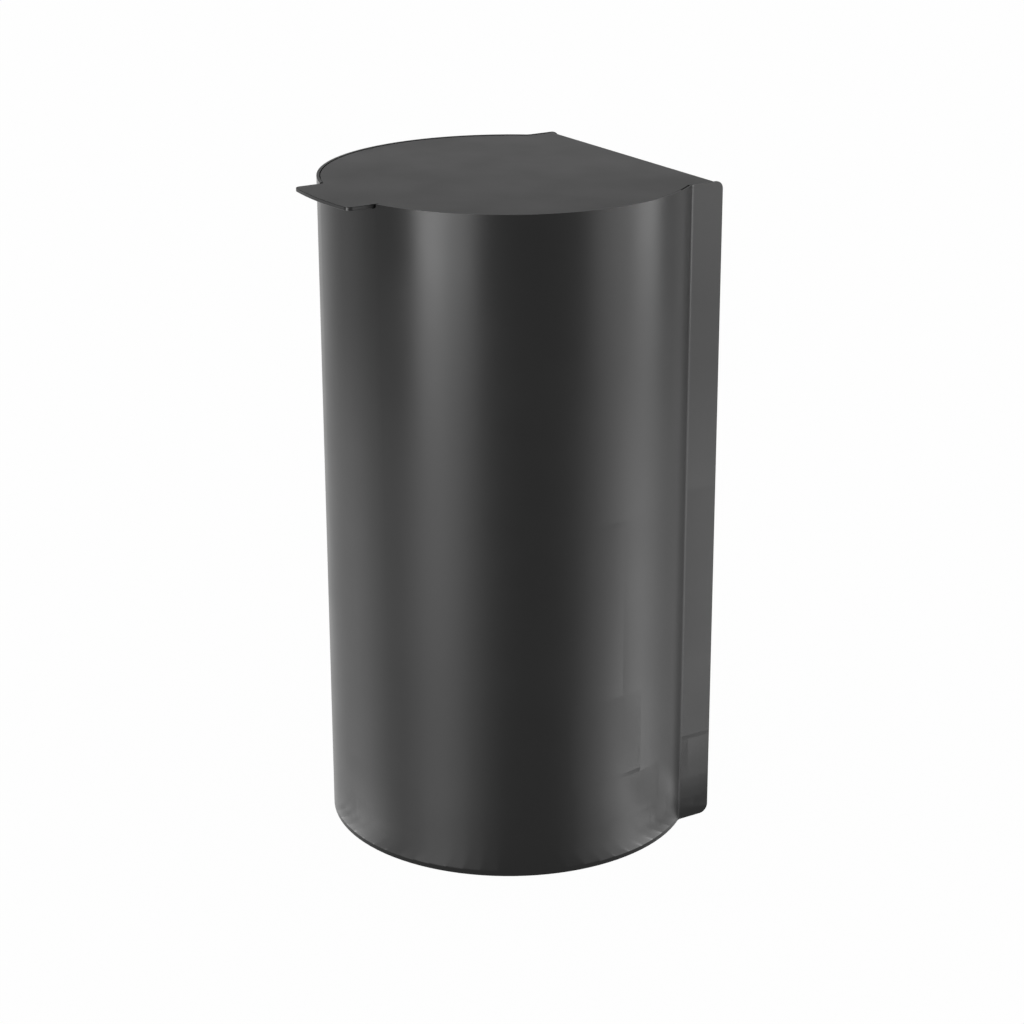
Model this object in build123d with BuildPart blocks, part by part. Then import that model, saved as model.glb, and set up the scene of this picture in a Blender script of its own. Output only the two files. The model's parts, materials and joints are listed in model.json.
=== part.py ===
from build123d import *
import os
from math import cos, radians, sin, sqrt

# Wall-hung waste bin of folded and rolled sheet steel, with a flush hinged lid.
# Millimetres, +Z up. The origin is at the underside of the base, on the axis of
# the round front. The front faces -Y and the wall is at +Y.

# Body
body_radius = 130.0            # outside of the rolled shell
body_height = 468.5
sheet = 1.0                    # shell and back channel
base_sheet = 2.0
back_half_width = 101.5        # outside of the side flanges
recess_depth = 25.7            # from the back web's front face to the wall
bend_radius = 5.0              # outside of the bend from the round front to each flange
fold_radius = 1.8              # outside of each fold of the back channel
channel_lip = 12.0             # from the web's front face to the edge of the folded lips
flange_top_radius = 5.5
flange_bottom_radius = 6.5
rim_hem = 6.0                  # depth of the sheet folded back inside the rim
rim_hem_end = 66.0             # the hem stops here, short of the bends
base_corner = 3.0
weld_gap = 0.1                 # between curved faces that are welded together

# Lid
lid_plate = 2.5
rim_gap = 0.5                  # all round, between lid and rim
rim_recess = 0.2               # lid's top below the rim
lid_wall_gap = 6.4             # from the lid's rear edge to the wall
lid_corner = 1.0
lid_bevel = 0.2
tab_half_width = 36.8
tab_overhang = 16.8            # beyond the shell
tab_tip_radius = 250.0         # of the tab's slightly curved front edge
tab_corner = 4.5
notch_gap = 1.8                # on both sides of the tab where it crosses the rim
notch_drop = 0.6               # below the tab
notch_corner = 2.5
underside_gap = 1.0            # between the closed lid and the back web

# Hinge
hinge_drop = 9.0               # axis below the lid's top
hinge_setback = 8.5            # axis in front of the lid's rear edge
rod_radius = 2.5
bush_wall = 1.2
bush_collar = 1.4              # collar beyond the bush's wall
collar_length = 1.2
bush_tail = 1.5                # bush beyond the inside of the ear
running_gap = 0.05             # radial, rod in its bush
fit_gap = 0.05                 # radial, pieces that are pushed together
end_gap = 0.3                  # along the rod, between lid and brackets
hinge_sheet = 2.0
ear_radius = 5.9
ear_flange = 13.0
bracket_radius = 5.0
bracket_drop = 15.0            # bracket below the axis
bracket_rise = 4.0             # bracket above the axis
cap_radius = 4.6
cap_length = 3.0
cap_end = 0.7                  # closed end of the cap
cap_side_gap = 0.8             # from the cap to the back channel's lip
cap_bevel = 0.8

# Rivets of the hinge brackets
rivet_radius = 2.0
rivet_head_radius = 3.8
rivet_head_height = 1.3
rivet_head_bevel = 0.8
rivet_tail_radius = 2.9
rivet_tail_height = 1.6
rivet_spacing = 10.0
rivet_side_gap = 10.0          # from the bracket's cheek to the outer rivet
rivet_edge = 6.0               # from the inner rivet to the bracket's edge
rivet_drop = 10.0              # rivets below the hinge axis

# Bag ring and its brackets
ring_depth = 52.0              # ring's top below the rim
ring_height = 12.0
ring_sheet = 2.0
ring_side_gap = 14.0           # from the shell to the ring
ring_rear_gap = 13.0           # from the back web to the ring
ring_corner = 18.0
seat_gap = 0.3                 # between a loose piece and its seat
bracket_sheet = 1.5
ring_bracket_angle = 20.0      # forward of the widest point
ring_bracket_half = 9.0
ring_foot = 18.0
ring_lip = 5.0
ring_lip_gap = 1.0

# Lid rests with their rubber buffers
rest_angle = 45.0              # forward of the widest point
rest_half = 7.0
rest_reach = 10.5
rest_foot = 16.0
buffer_radius = 4.2
buffer_height = 3.5
buffer_stem_radius = 1.8
buffer_bulb_radius = 2.6
buffer_bulb_height = 2.0
buffer_rim_gap = 0.6           # from the buffer to the rim's hem

# Fixing to the wall
hanger_depth = 34.0            # hanger's shelf below the rim
rail_sheet = 2.0
hanger_half_width = 68.0
hanger_plate = 22.0
hanger_lip = 10.0
hook_gap = 0.2                 # between hanger and wall rail
rail_half_width = 75.0
rail_plate = 40.0
rail_lip = 12.0
rail_standoff = 11.0           # rail's lip from the wall
screw_radius = 2.75
screw_spacing = 110.0
screw_drop = 24.0              # screws below the rail's shelf

# Lower stay, reached through a plugged hole in the back
stay_height = 68.0
stay_half_width = 20.0
stay_crown = 30.0
stay_foot = 12.0
access_radius = 6.0
plug_head_radius = 8.0
plug_head_height = 1.8
plug_length = 4.0

# Worked out from the sizes above
inner_radius = body_radius - sheet
rim_radius = inner_radius - sheet
web_front = sqrt(body_radius**2 - back_half_width**2)
web_back = web_front + sheet
wall_y = web_front + recess_depth
flange_inside = back_half_width - sheet
lid_top = body_height - rim_recess
lid_under = lid_top - lid_plate
web_top = lid_under - underside_gap
lid_radius = rim_radius - rim_gap
lid_half_width = flange_inside - rim_gap
lid_shoulder = sqrt(lid_radius**2 - lid_half_width**2)
lid_rear = wall_y - lid_wall_gap
tab_tip = -(body_radius + tab_overhang)
tab_shoulder = tab_tip + tab_tip_radius - sqrt(tab_tip_radius**2 - tab_half_width**2)
hinge_y = lid_rear - hinge_setback
hinge_z = lid_top - hinge_drop

# Hinge, from the back channel's lips inwards: cap, bracket, bush collar, lid ear
cap_outer = flange_inside - sheet - cap_side_gap
bracket_outer = cap_outer - cap_length
bracket_inner = bracket_outer - hinge_sheet
collar_outer = bracket_inner - end_gap
ear_outer = collar_outer - collar_length
ear_inner = ear_outer - hinge_sheet
bush_inner = ear_inner - bush_tail
bush_radius = rod_radius + running_gap + bush_wall
rod_half = cap_outer - cap_end - weld_gap
outer_rivet = bracket_inner - rivet_side_gap
inner_rivet = outer_rivet - rivet_spacing
rivet_places = [(side * x, hinge_z - rivet_drop) for side in (-1, 1) for x in (inner_rivet, outer_rivet)]

os.makedirs("parts", exist_ok=True)


def save(piece, name):
    piece.part.label = name
    export_step(piece.part, f"parts/{name}.step")


def round_front(radius, rear, mode=Mode.ADD):
    # A disc about the origin, cut off straight at the rear
    half = sqrt(radius**2 - rear**2)
    with BuildLine() as outline:
        ThreePointArc((-half, rear), (0, -radius), (half, rear))
        Line((half, rear), (-half, rear))
    make_face(outline.edges(), mode=mode)


def radial_plane(angle):
    # Upright plane through the origin: local x points outwards, local y up
    out = (cos(radians(angle)), sin(radians(angle)), 0)
    return Plane(origin=(0, 0, 0), x_dir=out, z_dir=(out[1], -out[0], 0))


def shell_outline(radius, half_width, bend):
    # Round front with a straight flange behind it on each side, joined by outward bends
    seam = sqrt(radius**2 - half_width**2)
    round_front(radius, seam)
    with Locations((0, seam)):
        Rectangle(2 * half_width, wall_y - seam, align=(Align.CENTER, Align.MIN))
    fillet(vertices().group_by(Axis.Y)[0], bend)


# Shell: one rolled sheet, hemmed at the rim and notched there for the lid's tab.
# Behind the round front both ends are bent outwards and run straight to the wall.
with BuildPart() as shell:
    with BuildSketch():
        shell_outline(body_radius, back_half_width, bend_radius)
    extrude(amount=body_height)
    with BuildSketch():
        shell_outline(inner_radius, flange_inside, bend_radius + sheet)
    extrude(amount=body_height, mode=Mode.SUBTRACT)
    with BuildSketch(Plane.XY.offset(body_height - rim_hem)):
        round_front(inner_radius, rim_hem_end)
        round_front(rim_radius, rim_hem_end, Mode.SUBTRACT)
    extrude(amount=rim_hem)
    notch_half = tab_half_width + notch_gap
    notch_depth = body_height - lid_under + notch_drop
    with BuildSketch(Plane.XZ):
        with Locations((0, body_height)):
            RectangleRounded(2 * notch_half, 2 * notch_depth, notch_corner)
    extrude(amount=2 * body_radius, mode=Mode.SUBTRACT)
    free_corners = shell.edges().filter_by(Axis.X).group_by(Axis.Y)[-1].group_by(Axis.Z)
    fillet(free_corners[-1], flange_top_radius)
    free_corners = shell.edges().filter_by(Axis.X).group_by(Axis.Y)[-1].group_by(Axis.Z)
    fillet(free_corners[0], flange_bottom_radius)
save(shell, "shell")

# Back channel: flat web between the flanges, with lips folded back along them
with BuildPart() as back_channel:
    with BuildSketch():
        lip_end, lip_inside = web_front + channel_lip, flange_inside - sheet
        with BuildLine():
            Polyline((-flange_inside, lip_end), (-flange_inside, web_front),
                     (flange_inside, web_front), (flange_inside, lip_end))
            Polyline((flange_inside, lip_end), (lip_inside, lip_end), (lip_inside, web_back),
                     (-lip_inside, web_back), (-lip_inside, lip_end), (-flange_inside, lip_end))
        make_face()
        fillet(vertices().group_by(Axis.Y)[0], fold_radius)
        fillet(vertices().filter_by(lambda v: abs(v.Y - web_back) < weld_gap), fold_radius - sheet)
    extrude(amount=web_top)
    with BuildSketch(Plane.XZ.offset(-web_front)):
        with Locations(*rivet_places):
            Circle(rivet_radius + fit_gap)
        with Locations((0, stay_height)):
            Circle(access_radius)
    extrude(amount=-sheet, mode=Mode.SUBTRACT)
save(back_channel, "back_channel")

# Base: flat plate, seam-welded inside the foot of the shell
with BuildPart() as base_plate:
    with BuildSketch():
        round_front(inner_radius - weld_gap, web_front - weld_gap)
        fillet(vertices(), base_corner)
    extrude(amount=base_sheet)
save(base_plate, "base_plate")

# Lid: one flat plate, with a pull tab that crosses the rim
with BuildPart() as lid:
    with BuildSketch(Plane.XY.offset(lid_under)):
        round_front(lid_radius, lid_shoulder)
        with Locations((0, lid_shoulder)):
            Rectangle(2 * lid_half_width, lid_rear - lid_shoulder, align=(Align.CENTER, Align.MIN))
        fillet(vertices().group_by(Axis.Y)[-1], lid_corner)
        with BuildLine():
            Polyline((-tab_half_width, tab_shoulder), (-tab_half_width, 0),
                     (tab_half_width, 0), (tab_half_width, tab_shoulder))
            ThreePointArc((tab_half_width, tab_shoulder), (0, tab_tip), (-tab_half_width, tab_shoulder))
        make_face()
        fillet(vertices().group_by(Axis.Y)[0], tab_corner)
    extrude(amount=lid_plate)
    chamfer(lid.faces().filter_by(Plane.XY).edges(), lid_bevel)
save(lid, "lid")

# Bag ring: flat strip bent to a D, which drops into three brackets
ring_top = body_height - ring_depth
ring_radius = inner_radius - ring_side_gap
ring_rear = web_front - ring_rear_gap
with BuildPart() as bag_ring:
    with BuildSketch(Plane.XY.offset(ring_top)):
        round_front(ring_radius, ring_rear)
        fillet(vertices(), ring_corner)
    extrude(amount=-ring_height)
    with BuildSketch(Plane.XY.offset(ring_top)):
        round_front(ring_radius - ring_sheet, ring_rear - ring_sheet)
        fillet(vertices(), ring_corner - ring_sheet)
    extrude(amount=-ring_height, mode=Mode.SUBTRACT)
save(bag_ring, "bag_ring")

# Ring brackets: folded strips with a foot on the wall, a shelf and a lip
shelf_z = ring_top - ring_height - seat_gap


def ring_bracket_section(wall, ring):
    lip = ring - ring_sheet - ring_lip_gap
    inside = lip - bracket_sheet
    with BuildLine() as strip:
        Polyline((wall, shelf_z - ring_foot), (wall, shelf_z), (lip, shelf_z), (lip, shelf_z + ring_lip),
                 (inside, shelf_z + ring_lip), (inside, shelf_z - bracket_sheet),
                 (wall - bracket_sheet, shelf_z - bracket_sheet),
                 (wall - bracket_sheet, shelf_z - ring_foot), close=True)
    make_face(strip.edges())


def flat_on_shell(half_width):
    # Distance from the axis to a flat foot whose edges meet the round wall
    return sqrt((inner_radius - weld_gap)**2 - half_width**2)


ring_brackets = {
    "left": (ring_bracket_angle - 180, flat_on_shell(ring_bracket_half), ring_radius),
    "right": (-ring_bracket_angle, flat_on_shell(ring_bracket_half), ring_radius),
    "rear": (90, web_front, ring_rear),
}
for place, (angle, wall, ring) in ring_brackets.items():
    with BuildPart() as ring_bracket:
        with BuildSketch(radial_plane(angle)):
            ring_bracket_section(wall, ring)
        extrude(amount=ring_bracket_half, both=True)
    save(ring_bracket, f"ring_bracket_{place}")

# Lid rests: small angles inside the rim, each with a rubber buffer under the lid
rest_z = lid_under - seat_gap - buffer_height
buffer_r = rim_radius - buffer_rim_gap - buffer_radius
rest_wall = flat_on_shell(rest_half)
rest_angles = {"left": rest_angle - 180, "right": -rest_angle}
for place, angle in rest_angles.items():
    with BuildPart() as lid_rest:
        with BuildSketch(radial_plane(angle)):
            with BuildLine():
                Polyline((rest_wall, rest_z - rest_foot), (rest_wall, rest_z), (rest_wall - rest_reach, rest_z),
                         (rest_wall - rest_reach, rest_z - bracket_sheet),
                         (rest_wall - bracket_sheet, rest_z - bracket_sheet),
                         (rest_wall - bracket_sheet, rest_z - rest_foot), close=True)
            make_face()
        extrude(amount=rest_half, both=True)
        centre = radial_plane(angle).from_local_coords((buffer_r, 0))
        with BuildSketch(Plane.XY.offset(rest_z)):
            with Locations((centre.X, centre.Y)):
                Circle(buffer_stem_radius + fit_gap)
        extrude(amount=-bracket_sheet, mode=Mode.SUBTRACT)
    save(lid_rest, f"lid_rest_{place}")

with BuildPart() as lid_buffers:
    for angle in rest_angles.values():
        with BuildSketch(radial_plane(angle)) as half_section:
            with BuildLine():
                Polyline((buffer_r, rest_z + buffer_height), (buffer_r + buffer_radius, rest_z + buffer_height),
                         (buffer_r + buffer_radius, rest_z), (buffer_r + buffer_stem_radius, rest_z),
                         (buffer_r + buffer_stem_radius, rest_z - bracket_sheet),
                         (buffer_r + buffer_bulb_radius, rest_z - bracket_sheet),
                         (buffer_r + buffer_stem_radius / 2, rest_z - bracket_sheet - buffer_bulb_height),
                         (buffer_r, rest_z - bracket_sheet - buffer_bulb_height), close=True)
            make_face()
        spin = radial_plane(angle).from_local_coords((buffer_r, 0))
        revolve(axis=Axis((spin.X, spin.Y, 0), (0, 0, 1)))
save(lid_buffers, "lid_buffers")

# Hinge pieces: each ear with its bush, and each bracket
sides = {"left": -1, "right": 1}
for place, side in sides.items():
    # Ear: welded under the lid by its folded top, with an eye for the bush
    with BuildPart() as hinge_ear:
        with BuildSketch(Plane.YZ.offset(side * ear_inner)):
            with Locations((hinge_y, hinge_z)):
                Circle(ear_radius)
                Rectangle(2 * ear_radius, lid_under - hinge_z, align=(Align.CENTER, Align.MIN))
                Circle(bush_radius + fit_gap, mode=Mode.SUBTRACT)
        extrude(amount=side * hinge_sheet)
        with BuildSketch(Plane.YZ.offset(side * ear_outer)):
            with Locations((hinge_y, lid_under)):
                Rectangle(2 * ear_radius, hinge_sheet, align=(Align.CENTER, Align.MAX))
        extrude(amount=-side * ear_flange)
    save(hinge_ear, f"hinge_ear_{place}")

    # Bush: a collared plastic sleeve that turns on the rod
    with BuildPart() as hinge_bush:
        with BuildSketch(Plane.YZ.offset(side * bush_inner)):
            with Locations((hinge_y, hinge_z)):
                Circle(bush_radius)
        extrude(amount=side * (collar_outer - bush_inner))
        with BuildSketch(Plane.YZ.offset(side * ear_outer)):
            with Locations((hinge_y, hinge_z)):
                Circle(bush_radius + bush_collar)
        extrude(amount=side * collar_length)
        with BuildSketch(Plane.YZ.offset(side * bush_inner)):
            with Locations((hinge_y, hinge_z)):
                Circle(rod_radius + running_gap)
        extrude(amount=side * (collar_outer - bush_inner), mode=Mode.SUBTRACT)
    save(hinge_bush, f"hinge_bush_{place}")

    # Bracket: an angle riveted behind the web, whose cheek holds the rod
    with BuildPart() as hinge_bracket:
        with BuildSketch(Plane.YZ.offset(side * bracket_inner)):
            with Locations((web_back, hinge_z)):
                Rectangle(hinge_y - web_back, 2 * bracket_radius, align=(Align.MIN, Align.CENTER))
            with Locations((hinge_y, hinge_z)):
                Circle(bracket_radius)
            with Locations((web_back, hinge_z - bracket_drop)):
                Rectangle(hinge_sheet, bracket_drop + bracket_rise, align=(Align.MIN, Align.MIN))
            with Locations((hinge_y, hinge_z)):
                Circle(rod_radius + fit_gap, mode=Mode.SUBTRACT)
        extrude(amount=side * hinge_sheet)
        with BuildSketch(Plane.YZ.offset(side * bracket_outer)):
            with Locations((web_back, hinge_z - bracket_drop)):
                Rectangle(hinge_sheet, bracket_drop + bracket_rise, align=(Align.MIN, Align.MIN))
        extrude(amount=-side * (bracket_outer - inner_rivet + rivet_edge))
        with BuildSketch(Plane.XZ.offset(-web_back)):
            with Locations(*[(x, z) for x, z in rivet_places if x * side > 0]):
                Circle(rivet_radius + fit_gap)
        extrude(amount=-hinge_sheet, mode=Mode.SUBTRACT)
    save(hinge_bracket, f"hinge_bracket_{place}")

with BuildPart() as hinge_rod:
    with BuildSketch(Plane.YZ):
        with Locations((hinge_y, hinge_z)):
            Circle(rod_radius)
    extrude(amount=rod_half, both=True)
    chamfer(hinge_rod.edges().filter_by(GeomType.CIRCLE), rod_radius / 6)
save(hinge_rod, "hinge_rod")

# Caps: pushed on both ends of the rod, closed on the outside
with BuildPart() as rod_caps:
    for side in sides.values():
        with BuildSketch(Plane.YZ.offset(side * bracket_outer)):
            with Locations((hinge_y, hinge_z)):
                Circle(cap_radius)
        extrude(amount=side * cap_length)
        chamfer(rod_caps.edges().filter_by(GeomType.CIRCLE).sort_by(Axis.X)[0 if side < 0 else -1], cap_bevel)
        with BuildSketch(Plane.YZ.offset(side * bracket_outer)):
            with Locations((hinge_y, hinge_z)):
                Circle(rod_radius + fit_gap)
        extrude(amount=side * (cap_length - cap_end), mode=Mode.SUBTRACT)
save(rod_caps, "rod_caps")

# Rivets: domed head inside the bin, tail behind the bracket
with BuildPart() as hinge_rivets:
    with BuildSketch(Plane.XZ.offset(-web_front)):
        with Locations(*rivet_places):
            Circle(rivet_head_radius)
    extrude(amount=rivet_head_height)
    chamfer(hinge_rivets.edges().group_by(Axis.Y)[0], rivet_head_bevel)
    with BuildSketch(Plane.XZ.offset(-web_front)):
        with Locations(*rivet_places):
            Circle(rivet_radius)
    extrude(amount=-(sheet + hinge_sheet))
    with BuildSketch(Plane.XZ.offset(-(web_back + hinge_sheet))):
        with Locations(*rivet_places):
            Circle(rivet_tail_radius)
    extrude(amount=-rivet_tail_height)
save(hinge_rivets, "hinge_rivets")

# Wall rail: screwed to the wall, its lip points up. Hanger: welded behind the
# web, its lip drops behind the rail's lip and its shelf sits on that lip.
hanger_z = body_height - hanger_depth
rail_lip_front = wall_y - rail_standoff - rail_sheet
rail_lip_top = hanger_z - rail_sheet - hook_gap
rail_shelf = rail_lip_top - rail_lip
hanger_lip_front = wall_y - rail_standoff + hook_gap
screw_z = rail_shelf - screw_drop
with BuildPart() as wall_rail:
    with BuildSketch(Plane.YZ):
        with BuildLine():
            Polyline((wall_y, rail_shelf + rail_sheet), (rail_lip_front + rail_sheet, rail_shelf + rail_sheet),
                     (rail_lip_front + rail_sheet, rail_lip_top), (rail_lip_front, rail_lip_top),
                     (rail_lip_front, rail_shelf), (wall_y - rail_sheet, rail_shelf),
                     (wall_y - rail_sheet, rail_shelf + rail_sheet - rail_plate),
                     (wall_y, rail_shelf + rail_sheet - rail_plate), close=True)
        make_face()
    extrude(amount=rail_half_width, both=True)
    with BuildSketch(Plane.XZ.offset(-wall_y)):
        with Locations((0, screw_z)):
            with GridLocations(screw_spacing, 0, 2, 1):
                Circle(screw_radius)
    extrude(amount=rail_sheet, mode=Mode.SUBTRACT)
save(wall_rail, "wall_rail")

with BuildPart() as hanger:
    with BuildSketch(Plane.YZ):
        with BuildLine():
            Polyline((web_back, hanger_z), (hanger_lip_front + rail_sheet, hanger_z),
                     (hanger_lip_front + rail_sheet, hanger_z - hanger_lip),
                     (hanger_lip_front, hanger_z - hanger_lip), (hanger_lip_front, hanger_z - rail_sheet),
                     (web_back + rail_sheet, hanger_z - rail_sheet),
                     (web_back + rail_sheet, hanger_z - hanger_plate),
                     (web_back, hanger_z - hanger_plate), close=True)
        make_face()
    extrude(amount=hanger_half_width, both=True)
save(hanger, "hanger")

# Lower stay: a hat-shaped strip that keeps the bin's foot off the wall. Its screw
# is reached through the hole in the web, which a plug closes from inside.
crown = stay_crown / 2
with BuildPart() as lower_stay:
    with BuildSketch(Plane.YZ):
        with BuildLine():
            Polyline((web_back, stay_height - crown - stay_foot), (web_back, stay_height - crown + bracket_sheet),
                     (wall_y - bracket_sheet, stay_height - crown + bracket_sheet),
                     (wall_y - bracket_sheet, stay_height + crown - bracket_sheet),
                     (web_back, stay_height + crown - bracket_sheet), (web_back, stay_height + crown + stay_foot),
                     (web_back + bracket_sheet, stay_height + crown + stay_foot),
                     (web_back + bracket_sheet, stay_height + crown), (wall_y, stay_height + crown),
                     (wall_y, stay_height - crown), (web_back + bracket_sheet, stay_height - crown),
                     (web_back + bracket_sheet, stay_height - crown - stay_foot), close=True)
        make_face()
    extrude(amount=stay_half_width, both=True)
    with BuildSketch(Plane.XZ.offset(-wall_y)):
        with Locations((0, stay_height)):
            Circle(screw_radius)
    extrude(amount=bracket_sheet, mode=Mode.SUBTRACT)
save(lower_stay, "lower_stay")

with BuildPart() as access_plug:
    with BuildSketch(Plane.XZ.offset(-web_front)):
        with Locations((0, stay_height)):
            Circle(plug_head_radius)
    extrude(amount=plug_head_height)
    chamfer(access_plug.edges().group_by(Axis.Y)[0], plug_head_height / 2)
    with BuildSketch(Plane.XZ.offset(-web_front)):
        with Locations((0, stay_height)):
            Circle(access_radius - fit_gap)
    extrude(amount=-plug_length)
save(access_plug, "access_plug")
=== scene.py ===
import json
import math
import bpy
import numpy as np
from mathutils import Matrix, Vector


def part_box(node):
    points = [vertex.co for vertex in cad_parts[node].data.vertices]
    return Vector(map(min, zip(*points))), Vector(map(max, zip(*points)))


# Wall-hung waste bin: folded and rolled sheet steel in satin black powder coat.
# Metres, the same frame as the solids: +Z up, front at -Y, wall at +Y.

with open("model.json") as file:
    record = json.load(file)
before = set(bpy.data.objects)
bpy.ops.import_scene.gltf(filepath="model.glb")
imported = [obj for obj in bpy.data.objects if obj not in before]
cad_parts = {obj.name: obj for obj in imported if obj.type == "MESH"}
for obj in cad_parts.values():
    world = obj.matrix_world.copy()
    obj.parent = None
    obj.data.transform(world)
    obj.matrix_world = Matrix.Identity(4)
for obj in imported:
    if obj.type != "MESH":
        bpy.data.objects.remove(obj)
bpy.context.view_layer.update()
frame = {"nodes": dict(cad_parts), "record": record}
nodes = frame["nodes"]
print("frame loaded,", len(nodes), "nodes")

mm = 0.001


def linearColour(hexCode):
    # sRGB hex to linear light, with alpha 1
    parts = [int(hexCode[i:i + 2], 16) / 255 for i in (1, 3, 5)]
    return tuple(c / 12.92 if c <= 0.04045 else ((c + 0.055) / 1.055) ** 2.4 for c in parts) + (1.0,)


def addNode(material, kind, settings=None, links=None):
    # One node with its settings and its incoming links
    node = material.node_tree.nodes.new(kind)
    for key, value in (settings or {}).items():
        if isinstance(key, str) and hasattr(node, key):
            setattr(node, key, value)
        else:
            node.inputs[key].default_value = value
    for key, source in (links or {}).items():
        material.node_tree.links.new(source, node.inputs[key])
    return node


# Camera

camera = {"azimuth": 58.01, "elevation": 19.67, "distance": 1.8470, "roll": -0.16,
          "aim": (-0.02761, 0.0200, 0.21021), "lens": 89.19, "sensor": 36.0,
          "clipStart": 0.05, "clipEnd": 60.0}


def placeCamera():
    turn, rise, roll = (math.radians(camera[k]) for k in ("azimuth", "elevation", "roll"))
    back = Vector((math.sin(turn) * math.cos(rise), -math.cos(turn) * math.cos(rise), math.sin(rise)))
    right = (-back).cross(Vector((0, 0, 1))).normalized()
    up = right.cross(-back)
    rolledRight = right * math.cos(roll) + up * math.sin(roll)
    rolledUp = up * math.cos(roll) - right * math.sin(roll)
    data = bpy.data.cameras.new("camera")
    data.lens, data.sensor_width = camera["lens"], camera["sensor"]
    data.clip_start, data.clip_end = camera["clipStart"], camera["clipEnd"]
    item = bpy.data.objects.new("camera", data)
    turnMatrix = Matrix((rolledRight, rolledUp, back)).transposed().to_4x4()
    item.matrix_world = Matrix.Translation(Vector(camera["aim"]) + back * camera["distance"]) @ turnMatrix
    bpy.context.scene.collection.objects.link(item)
    bpy.context.scene.camera = item


placeCamera()

# Floor, world and lamps

studio = {"floorRadius": 9.0, "floorRings": 12, "floorSpokes": 64, "floorColour": "#F4F4F4", "glow": 0.98,
          "horizonLight": 1.0, "skyLight": 0.2, "fillLight": 0.6,
          "skyStart": 0.08, "skyEnd": 0.26}


def makeFloor():
    # A flat disc of rings: each point is its radius turned by its angle
    rings, spokes = studio["floorRings"], studio["floorSpokes"]
    radius = studio["floorRadius"] * (np.arange(1, rings + 1) / rings) ** 2
    angle = np.arange(spokes) * 2 * np.pi / spokes
    points = np.zeros((rings * spokes + 1, 3))
    points[1:, 0] = np.outer(radius, np.cos(angle)).ravel()
    points[1:, 1] = np.outer(radius, np.sin(angle)).ravel()
    near = np.arange(spokes)
    after = (near + 1) % spokes
    faces = [(0, 1 + a, 1 + b) for a, b in zip(near, after)]
    for ring in range(rings - 1):
        inner, outer = 1 + ring * spokes, 1 + (ring + 1) * spokes
        faces += [(inner + a, outer + a, outer + b, inner + b) for a, b in zip(near, after)]
    mesh = bpy.data.meshes.new("floor")
    mesh.from_pydata(points.tolist(), [], faces)
    floor = bpy.data.objects.new("floor", mesh)
    bpy.context.scene.collection.objects.link(floor)
    # White paper sweep: matt, and white wherever it is seen or mirrored
    paper = bpy.data.materials.new("paper sweep")
    paper.use_nodes = True
    paper.node_tree.nodes.clear()
    rays = addNode(paper, "ShaderNodeLightPath")
    seen = addNode(paper, "ShaderNodeMath", {"operation": "ADD"},
                   {0: rays.outputs["Is Camera Ray"], 1: rays.outputs["Is Glossy Ray"]})
    seen = addNode(paper, "ShaderNodeMath", {"operation": "ADD", "use_clamp": True},
                   {0: seen.outputs[0], 1: rays.outputs["Is Transmission Ray"]})
    glowShare = addNode(paper, "ShaderNodeMath", {"operation": "MULTIPLY", 1: studio["glow"]},
                        {0: seen.outputs[0]})
    matt = addNode(paper, "ShaderNodeBsdfDiffuse", {"Color": linearColour(studio["floorColour"])})
    glow = addNode(paper, "ShaderNodeEmission", {"Strength": 1.0})
    mix = addNode(paper, "ShaderNodeMixShader", {},
                  {0: glowShare.outputs[0], 1: matt.outputs[0], 2: glow.outputs[0]})
    addNode(paper, "ShaderNodeOutputMaterial", {}, {"Surface": mix.outputs[0]})
    mesh.materials.append(paper)


def makeWorld():
    # White at the horizon and dimmer above it where it is seen or mirrored, plain soft light otherwise
    world = bpy.data.worlds.new("studio")
    bpy.context.scene.world = world
    world.use_nodes = True
    world.node_tree.nodes.clear()
    place = addNode(world, "ShaderNodeTexCoord")
    split = addNode(world, "ShaderNodeSeparateXYZ", {}, {0: place.outputs["Generated"]})
    fade = addNode(world, "ShaderNodeMapRange",
                   {"interpolation_type": "SMOOTHSTEP",
                    "From Min": studio["skyStart"], "From Max": studio["skyEnd"],
                    "To Min": studio["horizonLight"], "To Max": studio["skyLight"]},
                   {"Value": split.outputs["Z"]})
    rays = addNode(world, "ShaderNodeLightPath")
    seen = addNode(world, "ShaderNodeMath", {"operation": "ADD"},
                   {0: rays.outputs["Is Camera Ray"], 1: rays.outputs["Is Glossy Ray"]})
    seen = addNode(world, "ShaderNodeMath", {"operation": "ADD", "use_clamp": True},
                   {0: seen.outputs[0], 1: rays.outputs["Is Transmission Ray"]})
    shown = addNode(world, "ShaderNodeBackground", {"Color": (1, 1, 1, 1)},
                    {"Strength": fade.outputs["Result"]})
    fill = addNode(world, "ShaderNodeBackground", {"Color": (1, 1, 1, 1), "Strength": studio["fillLight"]})
    mix = addNode(world, "ShaderNodeMixShader", {},
                  {0: seen.outputs[0], 1: fill.outputs[0], 2: shown.outputs[0]})
    addNode(world, "ShaderNodeOutputWorld", {}, {"Surface": mix.outputs[0]})


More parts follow.
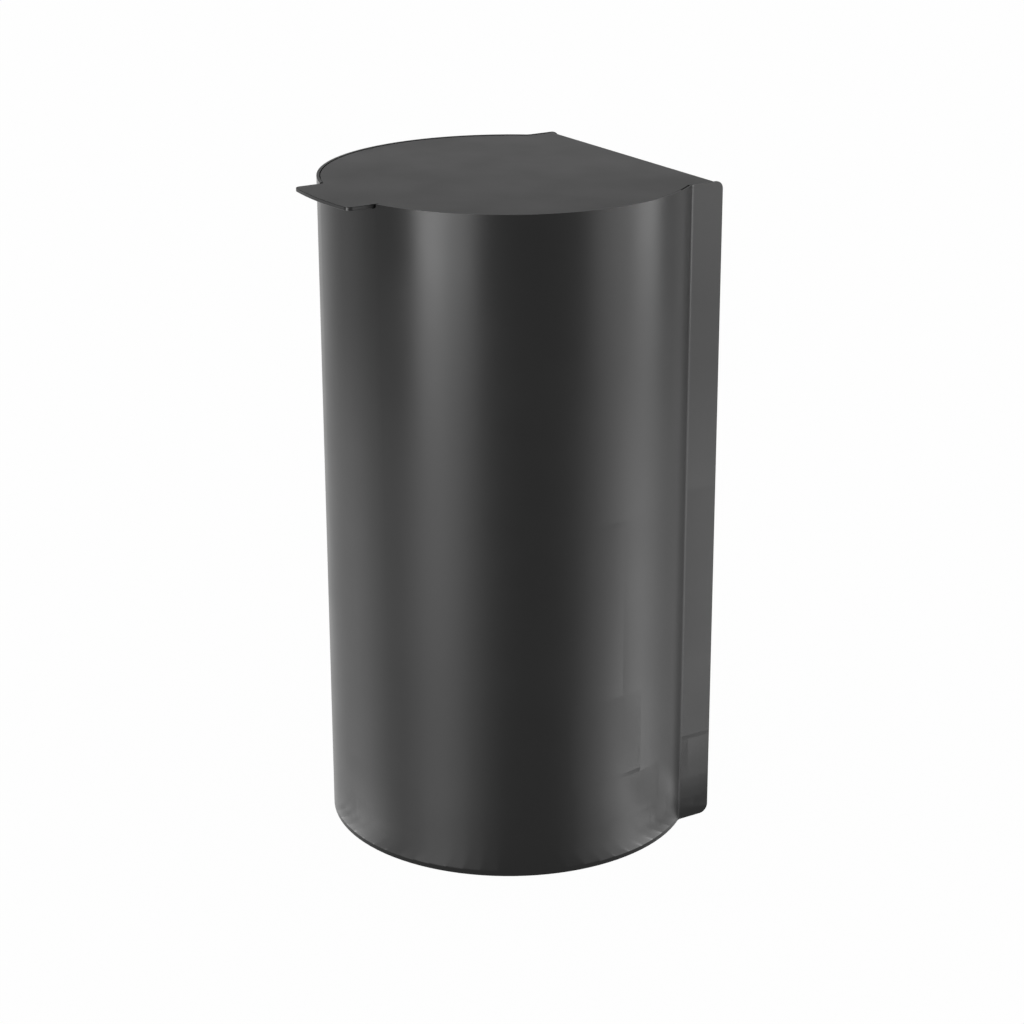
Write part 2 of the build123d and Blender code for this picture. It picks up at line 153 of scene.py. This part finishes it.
# Soft light panels. On the floor lies a fan of narrow ones, facing up. Each starts where the bin's
# wall faces one azimuth and runs away from it in the direction that this piece of wall mirrors
# towards the camera. The fan's radiance swells and fades with the azimuth: "spread" in degrees,
# the levels of the rows in watts per square metre and steradian. Rows: metres from the wall.
# The rows that lie square to the wall are those that end within "squareTo".
fan = {"first": -18, "last": 117, "step": 5, "least": 0.12, "lift": 0.003, "squareTo": 0.05,
       "rows": ((0.002, 0.03, "foot"), (0.03, 0.08, "foot"), (0.08, 0.18, "near"),
                (0.18, 0.38, "near"), (0.38, 0.7, "floor"), (0.7, 1.15, "floor"))}
swells = {
    "left": {"faces": 8, "spread": 8, "foot": 2.0, "near": 1.6, "floor": 1.7},
    "front": {"faces": 36, "spread": 8, "foot": 2.6, "near": 3.2, "floor": 4.3},
    "side": {"faces": 84, "spread": 4, "foot": 0.7, "near": 0.9, "floor": 0.8},
    "seam": {"faces": 99, "spread": 7.5, "foot": 3.4, "near": 5.0, "floor": 5.0},
}
# Behind the fan stand wide panels, facing the bin. Their watts, by the azimuth that the wall faces,
# were fitted by least squares to the tones wanted on the coat and then rounded, as were the first
# levels of the fan, which were then changed. The flange has a strip of its own.
stand = {"low": 0.02, "high": 0.60, "width": 0.45, "away": 1.4,
         "watts": {6: 0.4, 35: 12.6, 44: 6.7, 88: 3.1, 96: 3.1, 104: 6.3}}
flangeStrip = {"start": (0.1015, 0.0945), "faces": 90, "near": 0.01, "far": 1.25, "width": 0.09,
               "watts": 0.23}


def heading(azimuth):
    # Level direction of an azimuth in degrees, from the front towards +X
    return Vector((math.sin(math.radians(azimuth)), -math.cos(math.radians(azimuth)), 0))


def makePanel(name, centre, along, back, width, length, watts, coated):
    # One panel. It lights the coated pieces only: bare zinc and steel would clip to white under
    # lamps that are strong enough to show on the black coat.
    data = bpy.data.lights.new(name, "AREA")
    data.shape = "RECTANGLE"
    data.size, data.size_y, data.energy = width, length, watts
    item = bpy.data.objects.new(name, data)
    axes = Matrix((along.cross(back), along, back)).transposed().to_4x4()
    item.matrix_world = Matrix.Translation(centre) @ axes
    item.visible_camera = False
    item.light_linking.receiver_collection = coated
    bpy.context.scene.collection.objects.link(item)


def makePanels():
    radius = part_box("shell")[1][0]
    up = Vector((0, 0, 1))
    lift = up * fan["lift"]
    coated = bpy.data.collections.new("coatedPieces")
    for entry in frame["record"]["subparts"]:
        if entry["material_slot"] == "powder_coat":
            coated.objects.link(nodes[entry["node"]])
    for azimuth in range(fan["first"], fan["last"] + 1, fan["step"]):
        start, mirror = heading(azimuth) * radius, heading(2 * azimuth - camera["azimuth"])
        for near, far, rowName in fan["rows"]:
            level = sum(swell[rowName] * math.exp(-((azimuth - swell["faces"]) / swell["spread"]) ** 2 / 2)
                        for swell in swells.values())
            if level < fan["least"]:
                continue
            middle, length = (near + far) / 2, far - near
            width = math.radians(fan["step"]) * (radius + 2 * middle)
            along = heading(azimuth) if far < fan["squareTo"] else mirror
            makePanel(f"fan{azimuth}At{round(1000 * near)}", start + mirror * middle + lift, along, -up,
                      width, length, math.pi * level * width * length, coated)
    for azimuth, watts in stand["watts"].items():
        out = heading(2 * azimuth - camera["azimuth"])
        centre = heading(azimuth) * radius + out * stand["away"] + up * (stand["low"] + stand["high"]) / 2
        makePanel(f"stand{azimuth}", centre, up, out, stand["width"], stand["high"] - stand["low"],
                  watts, coated)
    out = heading(2 * flangeStrip["faces"] - camera["azimuth"])
    centre = Vector(flangeStrip["start"] + (0,)) + out * (flangeStrip["near"] + flangeStrip["far"]) / 2 + lift
    makePanel("flangeStrip", centre, out, -up, flangeStrip["width"], flangeStrip["far"] - flangeStrip["near"],
              flangeStrip["watts"], coated)


makeFloor()
makeWorld()
makePanels()
bpy.context.scene.view_settings.view_transform = "Standard"
print("floor, world and light panels made")

# Materials. Every pattern reads Object coordinates in metres, and its size is given in mm.


def blankMaterial(name):
    material = bpy.data.materials.new(name)
    material.use_nodes = True
    material.node_tree.nodes.clear()
    return material


def finishMaterial(material, shader):
    addNode(material, "ShaderNodeOutputMaterial", {}, {"Surface": shader.outputs[0]})
    return material


# The edge colour lightens the coat along the sheet's edges: partly a thinner coat, partly a painted
# highlight.
coat = {"colour": "#070707", "patchColour": "#0A0A0A", "edgeWearAndHighlightColour": "#1B1B1B",
        "specular": 0.22, "roughness": 0.30, "roughnessSwing": 0.02,
        "patchSize": 45.0, "peelSize": 2.6, "peelDepth": 0.004, "grainSize": 0.5, "grainDepth": 0.0006,
        "edgeWidth": 0.5, "edgeWearAndHighlightShare": 0.5, "edgeLean": (0.98, 0.75), "patchRange": (0.3, 0.7)}


def powderCoatedSteel():
    # Polyester powder sprayed and baked on sheet steel: satin black, with a faint orange peel
    # and a fine grain. Its colour is lighter along the sheet's edges: partly a thinner coat there, partly a
    # painted highlight.
    # The peel is drawn a little coarser than the real 1 to 2 mm, so that it can show.
    material = blankMaterial("powder coated sheet steel")
    place = addNode(material, "ShaderNodeTexCoord")
    where = place.outputs["Object"]
    patches = addNode(material, "ShaderNodeTexNoise", {"Scale": 1 / (coat["patchSize"] * mm), "Detail": 2.0},
                      {"Vector": where})
    peel = addNode(material, "ShaderNodeTexNoise", {"Scale": 1 / (coat["peelSize"] * mm), "Detail": 1.0},
                   {"Vector": where})
    grain = addNode(material, "ShaderNodeTexNoise", {"Scale": 1 / (coat["grainSize"] * mm), "Detail": 2.0},
                    {"Vector": where})
    # How far the rounded normal leans from the face's own: high only near an edge
    rounded = addNode(material, "ShaderNodeBevel", {"samples": 6, "Radius": coat["edgeWidth"] * mm})
    flat = addNode(material, "ShaderNodeNewGeometry")
    lean = addNode(material, "ShaderNodeVectorMath", {"operation": "DOT_PRODUCT"},
                   {0: rounded.outputs[0], 1: flat.outputs["Normal"]})
    edgeWearAndHighlight = addNode(material, "ShaderNodeMapRange", {"From Min": coat["edgeLean"][0],
                   "From Max": coat["edgeLean"][1], "To Max": coat["edgeWearAndHighlightShare"]},
                   {"Value": lean.outputs["Value"]})
    body = addNode(material, "ShaderNodeMix", {"data_type": "RGBA", 6: linearColour(coat["colour"]),
                   7: linearColour(coat["patchColour"])}, {0: patches.outputs[0]})
    # Painted highlight: the edge mask mixes a lighter grey into the coat's colour along every edge, besides
    # the thinner coat there.
    tone = addNode(material, "ShaderNodeMix", {"data_type": "RGBA", 7: linearColour(coat["edgeWearAndHighlightColour"])},
                   {0: edgeWearAndHighlight.outputs[0], 6: body.outputs[2]})
    gloss = addNode(material, "ShaderNodeMapRange", {"From Min": coat["patchRange"][0],
                    "From Max": coat["patchRange"][1],
                    "To Min": coat["roughness"] - coat["roughnessSwing"],
                    "To Max": coat["roughness"] + coat["roughnessSwing"]}, {"Value": patches.outputs[0]})
    waves = addNode(material, "ShaderNodeBump", {"Strength": 1.0, "Distance": coat["peelDepth"] * mm},
                    {"Height": peel.outputs[0]})
    bumps = addNode(material, "ShaderNodeBump", {"Strength": 1.0, "Distance": coat["grainDepth"] * mm},
                    {"Height": grain.outputs[0], "Normal": waves.outputs[0]})
    shader = addNode(material, "ShaderNodeBsdfPrincipled", {"Specular IOR Level": coat["specular"]},
                     {"Base Color": tone.outputs[2], "Roughness": gloss.outputs[0],
                      "Normal": bumps.outputs[0]})
    return finishMaterial(material, shader)


steel = {"colour": "#B3B1AC", "streakColour": "#8F8D89", "roughness": 0.24, "roughnessSwing": 0.10,
         "lineSize": 0.35, "lineLength": 60.0, "lineDepth": 0.004, "smearSize": 18.0}


def brushedStainless(name, across):
    # Cold-rolled stainless, brushed or drawn along its length: fine bright and dull lines,
    # and faint smears from handling. "across" is the axis that the lines are fine along.
    material = blankMaterial(name)
    place = addNode(material, "ShaderNodeTexCoord")
    fine, long = 1 / (steel["lineSize"] * mm), 1 / (steel["lineLength"] * mm)
    scale = tuple(fine if axis == across else long for axis in "XYZ")
    stretch = addNode(material, "ShaderNodeMapping", {"Scale": scale}, {"Vector": place.outputs["Object"]})
    lines = addNode(material, "ShaderNodeTexNoise", {"Scale": 1.0, "Detail": 3.0},
                    {"Vector": stretch.outputs[0]})
    smears = addNode(material, "ShaderNodeTexNoise", {"Scale": 1 / (steel["smearSize"] * mm), "Detail": 2.0},
                     {"Vector": place.outputs["Object"]})
    share = addNode(material, "ShaderNodeMath", {"operation": "MULTIPLY"},
                    {0: lines.outputs[0], 1: smears.outputs[0]})
    tone = addNode(material, "ShaderNodeMix", {"data_type": "RGBA", 6: linearColour(steel["colour"]),
                   7: linearColour(steel["streakColour"])}, {0: share.outputs[0]})
    gloss = addNode(material, "ShaderNodeMapRange", {"To Min": steel["roughness"],
                    "To Max": steel["roughness"] + steel["roughnessSwing"]}, {"Value": lines.outputs[0]})
    grooves = addNode(material, "ShaderNodeBump", {"Strength": 0.6, "Distance": steel["lineDepth"] * mm},
                      {"Height": lines.outputs[0]})
    shader = addNode(material, "ShaderNodeBsdfPrincipled", {"Metallic": 1.0},
                     {"Base Color": tone.outputs[2], "Roughness": gloss.outputs[0],
                      "Normal": grooves.outputs[0]})
    return finishMaterial(material, shader)


zinc = {"colour": "#B4B8BA", "stainColour": "#A9A68F", "dullColour": "#7F8486", "roughness": 0.30,
        "roughnessSwing": 0.16, "stainSize": 22.0, "crystalSize": 1.6, "rollSize": 0.5, "rollLength": 80.0,
        "rollDepth": 0.004, "stainRange": (0.45, 0.75), "stainShare": 0.6}


def zincPlatedSteel():
    # Cold-rolled strip, electroplated and passivated: bluish silver with faint yellow stains,
    # small dull crystals and the rolling marks of the strip along X
    material = blankMaterial("zinc plated strip")
    place = addNode(material, "ShaderNodeTexCoord")
    stains = addNode(material, "ShaderNodeTexNoise", {"Scale": 1 / (zinc["stainSize"] * mm), "Detail": 3.0},
                     {"Vector": place.outputs["Object"]})
    crystals = addNode(material, "ShaderNodeTexVoronoi", {"Scale": 1 / (zinc["crystalSize"] * mm)},
                       {"Vector": place.outputs["Object"]})
    roll, long = 1 / (zinc["rollSize"] * mm), 1 / (zinc["rollLength"] * mm)
    stretch = addNode(material, "ShaderNodeMapping", {"Scale": (long, roll, roll)},
                      {"Vector": place.outputs["Object"]})
    marks = addNode(material, "ShaderNodeTexNoise", {"Scale": 1.0, "Detail": 2.0},
                    {"Vector": stretch.outputs[0]})
    stainShare = addNode(material, "ShaderNodeMapRange", {"From Min": zinc["stainRange"][0],
                         "From Max": zinc["stainRange"][1], "To Max": zinc["stainShare"]},
                         {"Value": stains.outputs[0]})
    silver = addNode(material, "ShaderNodeMix", {"data_type": "RGBA", 6: linearColour(zinc["colour"]),
                     7: linearColour(zinc["dullColour"])}, {0: crystals.outputs["Distance"]})
    tone = addNode(material, "ShaderNodeMix", {"data_type": "RGBA", 7: linearColour(zinc["stainColour"])},
                   {0: stainShare.outputs[0], 6: silver.outputs[2]})
    gloss = addNode(material, "ShaderNodeMapRange", {"To Min": zinc["roughness"],
                    "To Max": zinc["roughness"] + zinc["roughnessSwing"]}, {"Value": marks.outputs[0]})
    grooves = addNode(material, "ShaderNodeBump", {"Strength": 0.6, "Distance": zinc["rollDepth"] * mm},
                      {"Height": marks.outputs[0]})
    shader = addNode(material, "ShaderNodeBsdfPrincipled", {"Metallic": 1.0},
                     {"Base Color": tone.outputs[2], "Roughness": gloss.outputs[0],
                      "Normal": grooves.outputs[0]})
    return finishMaterial(material, shader)


rivet = {"colour": "#9C9A96", "pitColour": "#6E6C69", "roughness": 0.36, "roughnessSwing": 0.14,
         "pitSize": 0.7, "pitDepth": 0.01}


def peenedSteel():
    # Plain steel rivets, set with a snap tool: dull silver, lightly pitted by the blow
    material = blankMaterial("peened steel")
    place = addNode(material, "ShaderNodeTexCoord")
    pits = addNode(material, "ShaderNodeTexNoise", {"Scale": 1 / (rivet["pitSize"] * mm), "Detail": 3.0},
                   {"Vector": place.outputs["Object"]})
    tone = addNode(material, "ShaderNodeMix", {"data_type": "RGBA", 6: linearColour(rivet["pitColour"]),
                   7: linearColour(rivet["colour"])}, {0: pits.outputs[0]})
    gloss = addNode(material, "ShaderNodeMapRange", {"To Min": rivet["roughness"] + rivet["roughnessSwing"],
                    "To Max": rivet["roughness"]}, {"Value": pits.outputs[0]})
    bumps = addNode(material, "ShaderNodeBump", {"Strength": 0.7, "Distance": rivet["pitDepth"] * mm},
                    {"Height": pits.outputs[0]})
    shader = addNode(material, "ShaderNodeBsdfPrincipled", {"Metallic": 1.0},
                     {"Base Color": tone.outputs[2], "Roughness": gloss.outputs[0],
                      "Normal": bumps.outputs[0]})
    return finishMaterial(material, shader)


nylon = {"colour": "#101011", "flowColour": "#17171A", "ior": 1.53, "roughness": 0.42, "roughnessSwing": 0.12,
         "flowSize": 6.0, "sparkSize": 0.45, "sparkDepth": 0.008}
rubber = {"colour": "#0C0C0C", "flowColour": "#161615", "ior": 1.52, "roughness": 0.68,
          "roughnessSwing": 0.12, "flowSize": 3.0, "sparkSize": 0.3, "sparkDepth": 0.012}


def mouldedPolymer(name, look):
    # Moulded black nylon or rubber: the flow of the melt shows as faint patches,
    # and the mould's spark-eroded face leaves a fine matt grain
    material = blankMaterial(name)
    place = addNode(material, "ShaderNodeTexCoord")
    flow = addNode(material, "ShaderNodeTexNoise", {"Scale": 1 / (look["flowSize"] * mm), "Detail": 2.0},
                   {"Vector": place.outputs["Object"]})
    spark = addNode(material, "ShaderNodeTexNoise", {"Scale": 1 / (look["sparkSize"] * mm), "Detail": 2.0},
                    {"Vector": place.outputs["Object"]})
    tone = addNode(material, "ShaderNodeMix", {"data_type": "RGBA", 6: linearColour(look["colour"]),
                   7: linearColour(look["flowColour"])}, {0: flow.outputs[0]})
    gloss = addNode(material, "ShaderNodeMapRange", {"To Min": look["roughness"],
                    "To Max": look["roughness"] + look["roughnessSwing"]}, {"Value": flow.outputs[0]})
    bumps = addNode(material, "ShaderNodeBump", {"Strength": 0.7, "Distance": look["sparkDepth"] * mm},
                    {"Height": spark.outputs[0]})
    shader = addNode(material, "ShaderNodeBsdfPrincipled", {"IOR": look["ior"]},
                     {"Base Color": tone.outputs[2], "Roughness": gloss.outputs[0],
                      "Normal": bumps.outputs[0]})
    return finishMaterial(material, shader)


# One finish for each material slot. The rod shares the ring's slot, but it is drawn along X.
finishes = {"powder_coat": powderCoatedSteel(),
            "stainless_steel": brushedStainless("brushed stainless strip", "Z"),
            "zinc_plate": zincPlatedSteel(),
            "rivet_steel": peenedSteel(),
            "black_nylon": mouldedPolymer("moulded black nylon", nylon),
            "black_rubber": mouldedPolymer("moulded black rubber", rubber)}
rodFinish = brushedStainless("drawn stainless rod", "Y")
for entry in frame["record"]["subparts"]:
    item = nodes[entry["node"]]
    item.data.materials.clear()
    finish = rodFinish if entry["node"] == "hinge_rod" else finishes[entry["material_slot"]]
    item.data.materials.append(finish)
print("materials set on", len(nodes), "nodes")
